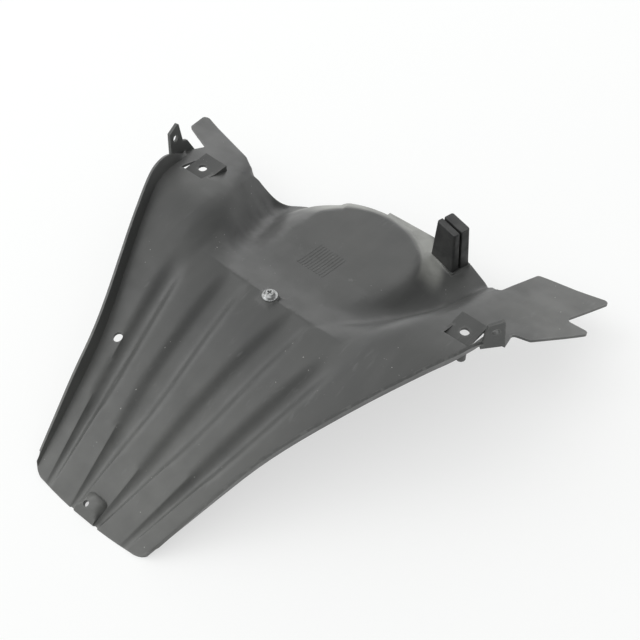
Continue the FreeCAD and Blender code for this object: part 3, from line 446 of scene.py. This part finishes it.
rubber_material, rubber_shader = principled("black_rubber", (0.033, 0.034, 0.034), 0.55)
dust = ramp(rubber_material, noise(rubber_material, 90.0, 4.0), [
    (0.38, (0.026, 0.027, 0.027)), (0.72, (0.048, 0.049, 0.047))])
rubber_material.node_tree.links.new(dust, rubber_shader.inputs["Base Color"])
rubber_material.node_tree.links.new(
    span(rubber_material, noise(rubber_material, 160.0, 3.0), 0.35, 0.65, 0.45, 0.66),
    rubber_shader.inputs["Roughness"])
bumped(rubber_material, rubber_shader, [(noise(rubber_material, 900.0, 3.0), 0.0003, 0.18)])

rubber = merged_copy("rubber_buffer")
bmesh.ops.dissolve_limit(rubber, angle_limit=math.radians(1.0), verts=rubber.verts, edges=rubber.edges)
buffer = finished(rubber, "rubber_buffer_soft", rubber_material, math.radians(50.0))
rubber.free()
soft_edges = buffer.modifiers.new("soft_edges", "BEVEL")
soft_edges.width = 0.0005
soft_edges.segments = 2
soft_edges.limit_method = "ANGLE"
soft_edges.angle_limit = math.radians(40.0)
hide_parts("rubber_buffer")
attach(buffer, "root")


# Stage: a plain white floor under soft daylight, with two wide lamps to the left and behind, and the camera
# at the photograph's angle. Seen directly or mirrored, the floor glows a little, so its shadows stay pale.

floor_half = 6.0
floor_glow_share = 0.60
sky_from = (-0.80, -0.45, 0.40)
sky_dark = 0.06
sky_bright = 1.26
lamp_target = (0.0, 0.0, 0.05)

floor_mesh = bmesh.new()
bmesh.ops.create_grid(floor_mesh, x_segments=1, y_segments=1, size=floor_half)
floor_data = bpy.data.meshes.new("floor")
floor_mesh.to_mesh(floor_data)
floor_mesh.free()
floor = bpy.data.objects.new("floor", floor_data)
bpy.context.scene.collection.objects.link(floor)
floor_material, floor_shader = principled("white_floor", (0.955, 0.975, 0.960), 0.8)
floor_nodes = floor_material.node_tree.nodes
floor_links = floor_material.node_tree.links
floor_glow = floor_nodes.new("ShaderNodeEmission")
floor_glow.inputs["Strength"].default_value = 1.0
floor_light = floor_nodes.new("ShaderNodeLightPath")
floor_seen = floor_nodes.new("ShaderNodeMath")
floor_seen.operation = "MAXIMUM"
floor_shown = floor_nodes.new("ShaderNodeMath")
floor_shown.operation = "MAXIMUM"
floor_share = floor_nodes.new("ShaderNodeMath")
floor_share.operation = "MULTIPLY"
floor_share.inputs[1].default_value = floor_glow_share
floor_mix = floor_nodes.new("ShaderNodeMixShader")
floor_links.new(floor_light.outputs["Is Camera Ray"], floor_seen.inputs[0])
floor_links.new(floor_light.outputs["Is Glossy Ray"], floor_seen.inputs[1])
floor_links.new(floor_seen.outputs["Value"], floor_shown.inputs[0])
floor_links.new(floor_light.outputs["Is Transmission Ray"], floor_shown.inputs[1])
floor_links.new(floor_shown.outputs["Value"], floor_share.inputs[0])
floor_links.new(floor_share.outputs["Value"], floor_mix.inputs[0])
floor_links.new(floor_shader.outputs["BSDF"], floor_mix.inputs[1])
floor_links.new(floor_glow.outputs["Emission"], floor_mix.inputs[2])
floor_links.new(floor_mix.outputs["Shader"], floor_nodes["Material Output"].inputs["Surface"])
floor_data.materials.append(floor_material)

world = bpy.data.worlds.new("daylight")
bpy.context.scene.world = world
world.use_nodes = True
sky = world.node_tree.nodes["Background"]
sky_direction = world.node_tree.nodes.new("ShaderNodeTexCoord")
sky_side = world.node_tree.nodes.new("ShaderNodeVectorMath")
sky_side.operation = "DOT_PRODUCT"
sky_side.inputs[1].default_value = sky_from
sky_strength = world.node_tree.nodes.new("ShaderNodeMapRange")
sky_strength.inputs["From Min"].default_value = -1.0
sky_strength.inputs["From Max"].default_value = 1.0
sky_strength.inputs["To Min"].default_value = sky_dark
sky_strength.inputs["To Max"].default_value = sky_bright
world.node_tree.links.new(sky_direction.outputs["Generated"], sky_side.inputs[0])
world.node_tree.links.new(sky_side.outputs["Value"], sky_strength.inputs["Value"])
world.node_tree.links.new(sky_strength.outputs["Result"], sky.inputs["Strength"])
sky.inputs["Color"].default_value = (1.0, 1.0, 1.0, 1.0)


def soft_lamp(name, place, target, width, height, power):
    """Wide area lamp that looks at a point; width and height in metres, power in watts."""
    data = bpy.data.lights.new(name, "AREA")
    data.shape = "RECTANGLE"
    data.size = width
    data.size_y = height
    data.energy = power
    lamp = bpy.data.objects.new(name, data)
    lamp.location = place
    lamp.rotation_euler = (Vector(target) - Vector(place)).to_track_quat("-Z", "Y").to_euler()
    bpy.context.scene.collection.objects.link(lamp)
    return lamp


soft_lamp("window", (-1.7, -0.6, 1.6), lamp_target, 1.6, 1.6, 13.0)
soft_lamp("white_wall", (-1.0, 2.1, 0.6), lamp_target, 2.4, 1.2, 11.0)

camera_azimuth = math.radians(40.7)
camera_elevation = math.radians(50.0)
camera_distance = 1.0
camera_offset = Vector((0.04099, 0.0140, 0.0))
camera_height = 0.060
focal_pixels = 1250.0
frame_pixels = 640.0

washer_low, washer_high = (Vector(corner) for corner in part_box("washer"))
camera_target = (washer_low + washer_high) / 2.0 + camera_offset
camera_target.z = camera_height
away = Vector((
    math.sin(camera_azimuth) * math.cos(camera_elevation),
    -math.cos(camera_azimuth) * math.cos(camera_elevation),
    math.sin(camera_elevation)))
camera_data = bpy.data.cameras.new("camera")
camera_data.sensor_width = 36.0
camera_data.lens = camera_data.sensor_width * focal_pixels / frame_pixels
camera = bpy.data.objects.new("camera", camera_data)
camera.location = camera_target + away * camera_distance
camera.rotation_euler = (-away).to_track_quat("-Z", "Y").to_euler()
bpy.context.scene.collection.objects.link(camera)
bpy.context.scene.camera = camera
bpy.context.scene.view_settings.view_transform = "Standard"
